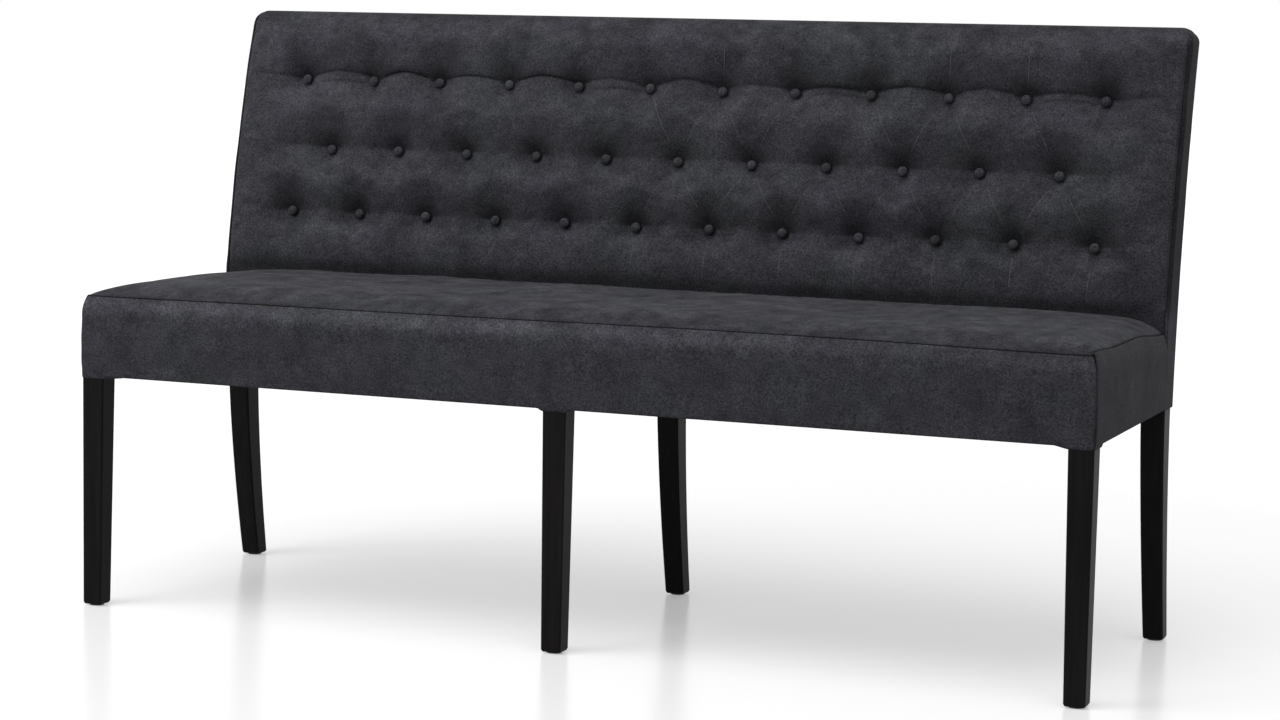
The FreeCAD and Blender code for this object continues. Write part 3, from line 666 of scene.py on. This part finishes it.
def make_pleats(outer, columns, length, height_to_s):
    """Thin pressed pleats between buttons and down to the seat, mostly on the right."""
    rng = np.random.default_rng(pleat_seed)
    normals = grid_normals(outer)
    spots = button_spots()
    lines = []
    for bx, bz, row in spots:
        if bx < -0.1:
            continue
        here = height_to_s(bz)
        for tx, tz, to_row in spots:
            if to_row == row + 1 and abs(tx - bx) < button_pitch and rng.uniform() < 0.75:
                lines.append(((bx, here), (tx, height_to_s(tz))))
        if row == 0:
            foot = (bx + rng.uniform(-7, 7) * mm, height_to_s(seat_top) - 6 * mm)
            lines.append(((bx, here), foot))
        if row == 2 and rng.uniform() < 0.5:
            lines.append(((bx, here), (bx + rng.uniform(-9, 9) * mm, height_to_s(shoulder))))
    vertices, faces = [], []
    for start, end in lines:
        first = len(vertices)
        shares = np.linspace(0.2, rng.uniform(0.72, 0.92), pleat_steps)
        for k, share in enumerate(shares):
            px = start[0] + (end[0] - start[0]) * share + rng.uniform(-0.3, 0.3) * mm
            ps = start[1] + (end[1] - start[1]) * share
            column = np.clip(np.searchsorted(columns, px) - 1, 0, len(columns) - 2)
            line = np.clip(np.searchsorted(length, ps) - 1, 0, len(length) - 2)
            fx = (px - columns[column]) / (columns[column + 1] - columns[column])
            fs = (ps - length[line]) / (length[line + 1] - length[line])
            place = ((outer[line, column] * (1 - fx) + outer[line, column + 1] * fx) * (1 - fs)
                     + (outer[line + 1, column] * (1 - fx) + outer[line + 1, column + 1] * fx) * fs)
            out = normals[line, column]
            thick = pleat_width * math.sin(math.pi * (k + 0.5) / pleat_steps) ** 0.5
            way = np.array([end[1] - start[1], 0, start[0] - end[0]])
            aside = way / np.linalg.norm(way) * thick
            vertices += [place - aside - out * 0.4 * mm, place + out * thick * 0.55,
                         place + aside - out * 0.4 * mm]
        for k in range(pleat_steps - 1):
            a = first + 3 * k
            faces += [(a, a + 3, a + 4, a + 1), (a + 1, a + 4, a + 5, a + 2),
                      (a + 2, a + 5, a + 3, a)]
        last = first + 3 * (pleat_steps - 1)
        faces += [(first, first + 1, first + 2), (last + 2, last + 1, last)]
    add_piece("pressed_pleats", vertices, faces, len(faces), pleat)


def make_stitches(name, line, normals):
    """Row of short thread stitches along a line on the cover."""
    places = np.concatenate([[0], np.cumsum(np.linalg.norm(np.diff(line, axis=0), axis=1))])
    vertices, faces = [], []
    for start in np.arange(stitch_pitch, places[-1] - stitch_pitch, stitch_pitch):
        first = len(vertices)
        ends = [np.array([np.interp(at, places, line[:, k]) for k in range(3)])
                for at in (start, start + stitch_length)]
        out = normals[int(np.argmin(np.abs(places - start)))]
        middle, along = (ends[0] + ends[1]) / 2, ends[1] - ends[0]
        aside = np.cross(along, out)
        aside *= stitch_thickness / np.linalg.norm(aside)
        up = out * stitch_thickness
        vertices += [ends[0] - up, middle + aside, middle + up, middle - aside, middle - up,
                     ends[1] - up]
        for a, b in ((1, 2), (2, 3), (3, 4), (4, 1)):
            faces += [(first, first + a, first + b), (first + 5, first + b, first + a)]
    add_piece(name, vertices, faces, len(faces), thread)


def make_buttons():
    """Cloth-covered domes, each pressed into its tuft."""
    rng = np.random.default_rng(button_seed)
    rings, segments = 12, 28
    turns = np.linspace(0, 2 * math.pi, segments, endpoint=False)
    vertices, faces = [], []
    for bx, bz, row in button_spots():
        angle = math.asin((bz - arc_z) / arc_radius)
        normal = Vector((0, -math.cos(angle), math.sin(angle)))
        across = Vector((1, 0, 0))
        upward = normal.cross(across)
        tilt = Matrix.Rotation(math.radians(rng.uniform(-6, 6)), 3, across)
        tilt = tilt @ Matrix.Rotation(math.radians(rng.uniform(-6, 6)), 3, upward)
        normal, across, upward = tilt @ normal, tilt @ across, tilt @ upward
        crown = back_crown * float(smooth((bench_height - bz) / back_crown_fall))
        place = Vector((bx, float(edge_front_y(bz)) - crown, bz))
        base = place - normal * (tuft_depth - 0.6 * mm)
        first = len(vertices)
        for ring in range(rings):
            bend = ring / (rings - 1) * button_bend
            radius = button_radius * math.sin(bend)
            if bend < math.pi / 2:
                level = button_dome * (button_rim + (1 - button_rim) * math.cos(bend))
            else:
                level = button_dome * button_rim * (1 + math.cos(bend) * 2.6)
            for turn in turns:
                gather = 1 + 0.012 * math.sin(turn * 9 + bx * 40) * math.sin(bend) ** 2
                vertices.append(base + (across * math.cos(turn) + upward * math.sin(turn))
                                * radius * gather + normal * level)
        for ring in range(rings - 1):
            for k in range(segments):
                a = first + ring * segments + k
                b = first + ring * segments + (k + 1) % segments
                faces.append((a, a + segments, b + segments, b))
        faces.append(tuple(first + k for k in range(segments)))
        faces.append(tuple(first + (rings - 1) * segments + k for k in reversed(range(segments))))
    piece = add_piece("covered_buttons", vertices, faces, len(faces), cover)
    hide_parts("tuft_buttons")


def gusset_line(height, outer, side):
    """Section of the gusset at a height: front seam, rounded edge, side, rear seam."""
    seam = half_width - gusset_width
    top_part = (float(top_height(side * seam)) - shoulder) / back_top_round
    rise = min(1.0, max(0.0, (height - shoulder) / (back_top_round * top_part)))
    inset = back_top_round * (1 - math.sqrt(1 - rise ** 2))
    front = float(edge_front_y(height)) + inset
    rear = float(rear_y(height)) - inset
    above_seat = float(smooth((height - seat_seam_height) / back_side_rise))
    radius = back_foot_round + (back_side_round - back_foot_round) * above_seat
    seam = min(seam, outer - 0.3 * mm)
    first_turn = math.asin(min(1.0, max(0.0, (seam - outer + radius) / radius)))
    turns = np.linspace(first_turn, math.pi / 2, 11)
    corner = [(outer - radius + radius * math.sin(t), front + radius * (1 - math.cos(t)))
              for t in turns]
    corner[0] = (seam, corner[0][1])
    wrapped = float(ease(height - shoulder + 6 * mm, 10))
    end = max(rear - rear_panel_reach * (1 - wrapped) - gusset_width, front + radius + 2 * mm)
    line = corner + [(outer, y) for y in np.linspace(front + radius, end, 14)[1:]]
    for turn in np.linspace(0, math.pi / 2, 6)[1:]:
        ahead = 2 * gusset_width * turn / math.pi
        line.append((outer - wrapped * (outer - seam) * (1 - math.cos(turn)),
                     end + ahead + wrapped * (gusset_width * math.sin(turn) - ahead)))
    return line, wrapped


def make_gusset(side, name):
    """Side strip of the back, from the front seam round to the rear seam."""
    round_off = back_corner_rounds[side]
    corner_start = bench_height - round_off
    rows = [(height, half_width) for height in np.linspace(apron_bottom, corner_start, 112)]
    last_turn = math.acos(1 - gusset_width / round_off)
    rows += [(corner_start + round_off * math.sin(turn),
              half_width - round_off * (1 - math.cos(turn)))
             for turn in np.linspace(0, last_turn, 10)[1:]]
    lines = [gusset_line(height, outer, side) for height, outer in rows]
    points = np.array([[(side * x, y, height) for x, y in line]
                       for (line, wrapped), (height, outer) in zip(lines, rows)])
    below_top = 1 - np.array([wrapped for line, wrapped in lines])[:, None]
    outward = grid_normals(points) * side
    steps = np.linalg.norm(np.diff(points, axis=1), axis=2)
    from_front = np.concatenate([np.zeros((len(rows), 1)), np.cumsum(steps, axis=1)], axis=1)
    from_rear = from_front[:, -1:] - from_front
    above_seat = ease(points[:, :, 2] - seat_seam_height, 30)
    relief = 0.6 * mm * soft_noise(points[:, :, 1], points[:, :, 2], 60 * mm, seed=11 + side)
    relief += (0.6 if side > 0 else 2.2) * mm
    relief -= 1.6 * mm * fade(from_front, 2.5) * below_top
    relief *= 1 - fade(from_rear, 2) * (1 - 0.6 * below_top)
    relief -= 1.4 * mm * fade(from_rear, 1.2) * below_top
    points = points + outward * (relief * above_seat)[:, :, None]
    # Painted shade over the whole side strip, deeper at its seams
    creases = np.maximum(fade(from_front, 1.5), fade(from_rear, 1.2))
    creases = 0.56 + 0.15 * creases * below_top
    piece = shell(name, points, cover, flip=side < 0, creases=creases * above_seat)
    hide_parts(name.replace("_cover", ""))


def make_rear_panel():
    """Plain outside back, from seam to seam and down to the hem."""
    side_x = half_width - 0.2 * mm
    x, z = np.meshgrid(spaced(-side_x, side_x, rear_panel_step),
                       np.linspace(apron_bottom, shoulder, 90))
    from_side = side_x - np.abs(x)
    corner = np.clip(1 - from_side / back_rear_round, 0, 1)
    flat = ease(from_side, 25)
    y = rear_y(z) + 0.3 * mm + (0.7 * mm * soft_noise(x, z, 90 * mm, seed=31) - 0.3 * mm) * flat
    y = y - back_rear_round * (1 - np.sqrt(1 - corner ** 2))
    y = y - 1.2 * mm * fade(shoulder - z, 3) * flat
    piece = shell("back_rear_panel_cover", np.stack([x, y, z], axis=2), cover, flip=True)
    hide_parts("back_rear_panel")


# Upholstered seat

def front_wave(x):
    """Rise and fall of the seat's front seam along the bench."""
    middle = 2.6 * mm * np.exp(-((x - 0.25) / 0.35) ** 2)
    return middle - 1.6 * mm * smooth((np.abs(x) - 0.5) / 0.25)


def side_wave(depth, right):
    """Rise and fall of a side seam from the front to the foot of the back."""
    front = 4.5 * mm * right * smooth(1 - depth / (130 * mm))
    return front - 12 * mm * smooth((depth - 0.24) / 0.22)


def make_seat_top():
    """Crowned top panel of the seat over its foam."""
    side_x = half_width - seat_edge_round
    start_y = front_y + seat_edge_round
    x, y = np.meshgrid(spaced(-side_x, side_x, seat_step),
                       spaced(start_y, seat_rear_y + 2 * mm, seat_step))
    from_side = side_x - np.abs(x)
    from_front = y - start_y
    edge = np.minimum(from_side, from_front)
    front_share, side_share = from_front / seat_crown_width, from_side / seat_side_crown_width
    blend = 0.2
    mixed = np.clip(0.5 + 0.5 * (front_share - side_share) / blend, 0, 1)
    share = front_share * (1 - mixed) + side_share * mixed - blend * mixed * (1 - mixed)
    share = np.clip(share, 0, 1)
    beside = smooth(0.5 + (from_front - from_side) / (7 * mm))
    along_front = front_wave(x) * fade(from_front, 60) * (1 - beside)
    along_side = side_wave(from_front, x > 0) * fade(from_side, 60) * beside
    seam = seat_seam_height + (along_front + along_side)
    lip = 1.6 * mm * (1 - fade(edge, 3))
    z = seam + seat_crown * (1 - (1 - share) ** 2) + lip * (1 - share)
    inner_part = ease(edge, 40) * ease(from_side, 170)
    z += (1.4 * mm * soft_noise(x, y, 130 * mm, seed=51)
          + 0.5 * mm * soft_noise(x, y * 1.8, 45 * mm, seed=52)) * inner_part
    corner = bell(from_side - 45 * mm, 40) * bell(from_front - 30 * mm, 22)
    ripples = np.sin((from_front + 0.35 * from_side) / (4.2 * mm))
    z += 1.6 * mm * corner * ripples * (x > 0)
    z -= 5 * mm * fade(edge, 1.2)
    # Painted shade along the seams, in the right corner's ripples and at the foot of the back;
    # darker along the front edge
    creases = ease(seam + 1.7 * mm - z, 2.0) * ease(9 * mm - edge, 4)
    creases = np.maximum(creases, 0.6 * corner * np.clip(ripples - 0.2, 0, 1) * (x > 0))
    creases = np.maximum(creases, 0.3 * bell(from_front, 48) * (1 - beside))
    rear = 0.6 * ease(y - seat_rear_y + 10 * mm, 12)
    outer = np.stack([x, y, z], axis=2)
    held = 0.1 + 0.9 * np.maximum(smooth(1 - edge / (25 * mm)),
                                  ease(y - seat_rear_y + 25 * mm, 20))
    outer += settle(outer, held, seat_pressure) * ease(from_side, 190)[:, :, None]
    inner = np.stack([x, y, np.full_like(z, webbing_top + 0.5 * mm)], axis=2)
    piece = closed_grid("seat_pad", outer, inner, cover, creases=np.maximum(creases, rear))
    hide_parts("seat_top_panel", "seat_foam")


def band_profile():
    """(inset, height, share up the face, painted shade) points of a band, from its hem to the seam.
    """
    points = [(hem_width, apron_bottom + 0.6 * mm, 0.0, 0.0),
              (8 * mm, apron_bottom + 0.4 * mm, 0.0, 0.0)]
    turn = 3 * mm
    for angle in np.linspace(0, math.pi / 2, 7):
        points.append((turn * (1 - math.sin(angle)), apron_bottom + turn * (1 - math.cos(angle)),
                       0.0, 0.0))
    low, high = apron_bottom + turn, seat_seam_height - band_roll
    for share in np.linspace(0.04, 1, 28):
        points.append((0.0, low + (high - low) * share, share, 0.0))
    for share in np.linspace(0, 1, 12)[1:]:
        points.append((band_roll_inset * share ** 2, high + (band_roll - 1.3 * mm) * share,
                       1.0, 0.0))
    # The last points tuck into the seam and carry painted shade
    for inset, drop, crease in ((1.6, 0.5, 0.5), (0.7, 2, 1.0), (0.3, 6, 1.0)):
        points.append((seat_edge_round - inset * mm, seat_seam_height - drop * mm, 1.0, crease))
    return points


def make_band(name, ring, node):
    """One band of the seat along a piece of its outline."""
    inset, level, share, crease = np.array(band_profile()).T[:, :, None]
    widening = np.minimum(1, inset / seat_edge_round)
    x, y = ring.row(inset, seat_corner_round + (seat_seam_round - seat_corner_round) * widening)
    z = level + 0 * x
    face = smooth(share / 0.2) * smooth((1 - share) / 0.1)
    relief = (1.2 * mm * soft_noise(ring.place, z, 90 * mm, ring.seed)
              + 0.4 * mm * soft_noise(ring.place, z, 28 * mm, ring.seed + 1)) * face
    relief = np.maximum(relief + 1.2 * mm * np.sin(np.pi * share), -0.5 * mm)
    relief -= 1.1 * mm * np.exp(-ring.from_corner / 1.2)
    near_leg = np.max([1 - (np.abs(ring.place - leg) - leg_width / 2) / (9 * mm)
                       for leg in ring.legs], axis=0)
    lowering = 4 * mm * smooth(near_leg) * bell(np.clip(z - apron_bottom, 0, None), 9)
    z = z + ring.wave * ease(z - apron_bottom, 120) - lowering
    points = np.stack([x, y, z], axis=2) + ring.outward * relief[:, :, None]
    below_seam = seat_seam_height - level
    # Painted shade at the corner seams and on the face below the roll; the lighter strip along the
    # roll is wear and painted highlight
    creases = np.maximum(crease, 0.28 * np.exp(-ring.from_corner))
    creases = creases + ring.shade * ease(below_seam - 15 * mm, 25)
    creases -= ring.wear_and_highlight * bell(below_seam - 13 * mm, 12)
    piece = shell(name, points, cover, flip=ring.flip, thickness=1.2 * mm, creases=creases)
    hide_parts(node)


class Ring:
    """Outline of a band, as points that turn round its corner seams."""

    def set_points(self, side, turns, place):
        """Turns, places along the band, ways out of it and steps from its corner seam."""
        self.side, self.turns, self.place = side, turns, place
        self.outward = np.stack([side * np.sin(turns), -np.cos(turns), 0 * turns], axis=1)
        self.from_corner = np.arange(len(turns))


class FrontRing(Ring):
    """Front band's outline, from the middle of one corner to the middle of the other."""
    flip, seed, shade = False, 71, 0.1

    def __init__(self):
        turn = np.linspace(math.pi / 4, 0, corner_steps, endpoint=False)
        corner = np.ones(corner_steps)
        self.shares = np.concatenate([-corner, np.linspace(-1, 1, front_steps), corner])
        self.set_points(1, np.concatenate([-turn, np.zeros(front_steps), turn[::-1]]),
                        self.shares * (half_width - seat_corner_round))
        self.from_corner = np.minimum(self.from_corner, self.from_corner[::-1])
        self.legs = (-(half_width - leg_width / 2), 0.0, half_width - leg_width / 2)
        self.wave = front_wave(self.place)
        # Lighter strip along the roll: wear and painted highlight, fading to the right as painted
        # light from the left
        worn = 0.58 + 0.12 * soft_noise(self.place, 0 * self.place, 90 * mm, seed=73)
        self.wear_and_highlight = worn * (1 - 0.6 * ease(self.place - 150 * mm, 450))

    def row(self, inset, radius):
        """Places of all points at an inset, with corners of a radius."""
        x = self.shares * (half_width - inset - radius) + radius * np.sin(self.turns)
        return x, front_y + inset + radius * (1 - np.cos(self.turns))


class SideRing(Ring):
    """Side band's outline, from the middle of the front corner to the foot of the back."""
    # Painted shade darkens the side band; it has no lighter strip
    shade, wear_and_highlight = 0.18, 0.0

    def __init__(self, side):
        turn = np.linspace(math.pi / 4, math.pi / 2, corner_steps, endpoint=False)
        self.shares = np.concatenate([np.zeros(corner_steps), np.linspace(0, 1, side_steps)])
        self.set_points(side, np.concatenate([turn, np.full(side_steps, math.pi / 2)]),
                        self.shares * seat_depth)
        self.flip, self.seed = side < 0, 81 + side
        self.legs = (leg_width / 2, seat_depth + leg_width)
        self.wave = side_wave(self.place, side > 0)

    def row(self, inset, radius):
        """Places of all points at an inset, with a corner of a radius."""
        x = half_width - inset - radius + radius * np.sin(self.turns)
        start = front_y + inset + radius
        run = (seat_rear_y + 0.3 * mm - start) * self.shares
        return self.side * x, start - radius * np.cos(self.turns) + run


# Finishes of the frame's own pieces

def dress_frame():
    """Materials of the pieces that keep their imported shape."""
    beech_x, beech_y, beech_z = (
        wood_material("beech_along_" + axis, (0.42, 0.27, 0.15), (0.60, 0.42, 0.26), 0.6, along)
        for along, axis in enumerate("xyz"))
    stain = wood_material("black_stain", (0.0062, 0.0056, 0.006), (0.011, 0.0098, 0.0102),
                          0.42, 2, gloss_level=0.045)
    ply = wood_material("plywood", (0.46, 0.32, 0.19), (0.62, 0.46, 0.29), 0.65, 0)
    steel = plain_material("zinc_steel", (0.45, 0.45, 0.47), (0.62, 0.62, 0.64), 0.35, 300,
                           metallic=1.0)
    plastic = plain_material("black_plastic", 0.018, 0.028, 0.5, 400)
    webbing = plain_material("webbing", (0.05, 0.045, 0.04), (0.10, 0.09, 0.08), 0.85, 350,
                             stretch=(1, 0.3, 1))
    cloth = plain_material("dust_cloth", (0.012, 0.012, 0.013), (0.022, 0.022, 0.024), 0.9, 700)
    twine = plain_material("waxed_twine", (0.36, 0.30, 0.21), (0.55, 0.47, 0.35), 0.7, 900)
    by_words = (("leg", stain), ("side_rail cross_rail", beech_y), ("stile", beech_z),
                ("rail dowel blocks", beech_x), ("tuft_board", ply),
                ("screws staples plates washers nails", steel), ("glides", plastic),
                ("seat_webbing", webbing), ("dust", cloth), ("twine", twine))
    for name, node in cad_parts.items():
        for words, material in by_words:
            if any(word in name for word in words.split()):
                node.data.materials.clear()
                node.data.materials.append(material)
                break


# Stage

def shown_rays(tree):
    """One for the rays that show the backdrop itself: camera, glossy and transmission rays."""
    rays = add_node(tree, "LightPath").outputs
    shown = combine(tree, "MAXIMUM", rays["Is Camera Ray"], rays["Is Glossy Ray"])
    return combine(tree, "MAXIMUM", shown, rays["Is Transmission Ray"])


def make_floor():
    """Pale floor that keeps the bench's shadow and glows white away from it."""
    mesh = bpy.data.meshes.new("floor")
    reach = 30
    corners = ((-reach, -reach, 0), (reach, -reach, 0), (reach, reach, 0), (-reach, reach, 0))
    mesh.from_pydata(corners, [], [(0, 1, 2, 3)])
    floor = add_object("floor", mesh)
    material, tree, surface = new_material("pale_floor")
    shown = shown_rays(tree)
    tone = add_node(tree, "Mix")
    tone.data_type = "RGBA"
    set_inputs(tree, tone, Factor=shown, A=(0.4, 0.4, 0.4, 1), B=(0.9, 0.9, 0.9, 1))
    set_inputs(tree, surface, Base_Color=tone.outputs["Result"], Roughness=0.22,
               Specular_IOR_Level=0.3)
    away = add_node(tree, "VectorMath")
    away.operation = "LENGTH"
    tree.links.new(add_node(tree, "NewGeometry").outputs["Position"], away.inputs[0])
    far = span(tree, away.outputs["Value"], 0.28, 1.0, start=1.6, end=4.0)
    mix = add_node(tree, "MixShader", Fac=combine(tree, "MULTIPLY", shown, far))
    tree.links.new(surface.outputs["BSDF"], mix.inputs[1])
    tree.links.new(add_node(tree, "Emission", Strength=1.17).outputs["Emission"], mix.inputs[2])
    set_inputs(tree, tree.nodes["Material Output"], Surface=mix.outputs["Shader"])
    mesh.materials.append(material)


def make_world():
    """Even white light, shown as plain white."""
    world = bpy.data.worlds.new("studio")
    bpy.context.scene.world = world
    world.use_nodes = True
    tree = world.node_tree
    set_inputs(tree, tree.nodes["Background"], Color=(1, 1, 1, 1),
               Strength=span(tree, shown_rays(tree), 0.42, 1.0))


def add_lamp(name, kind, way, place=(0, 0, 0), **settings):
    """Lamp at a place that shines one way."""
    light = bpy.data.lights.new(name, kind)
    for key, value in settings.items():
        setattr(light, key, value)
    lamp = add_object(name, light)
    lamp.location = place
    lamp.rotation_euler = Vector(way).to_track_quat("-Z", "Y").to_euler()


def make_camera():
    """Camera of the photograph."""
    data = bpy.data.cameras.new("camera")
    data.sensor_width = sensor_width
    data.lens = sensor_width * focal_pixels / photo_width
    camera = add_object("camera", data)
    spot = Vector(camera_spot) * mm + Vector((0, front_y, 0))
    camera.matrix_world = (Matrix.Translation(spot) @ Matrix.Rotation(camera_yaw, 4, "Z")
                           @ Matrix.Rotation(math.pi / 2 - camera_pitch, 4, "X")
                           @ Matrix.Rotation(camera_roll, 4, "Z"))
    bpy.context.scene.camera = camera


make_back()
make_buttons()
make_gusset(-1, "back_gusset_left_cover")
make_gusset(1, "back_gusset_right_cover")
make_rear_panel()
make_seat_top()
make_band("seat_front_band_cover", FrontRing(), "seat_front_band")
make_band("seat_side_band_left_cover", SideRing(-1), "seat_side_band_left")
make_band("seat_side_band_right_cover", SideRing(1), "seat_side_band_right")
dress_frame()
make_floor()
make_world()
add_lamp("sky_panel", "SUN", (0.02, 0.33, -0.94), energy=0.54 * math.pi, angle=math.radians(50))
add_lamp("left_panel", "AREA", (1.8, 2.2, -1.8), (-2.2, -2.2, 2.5), energy=50, size=2.0)
make_camera()
bpy.context.scene.view_settings.view_transform = "Standard"
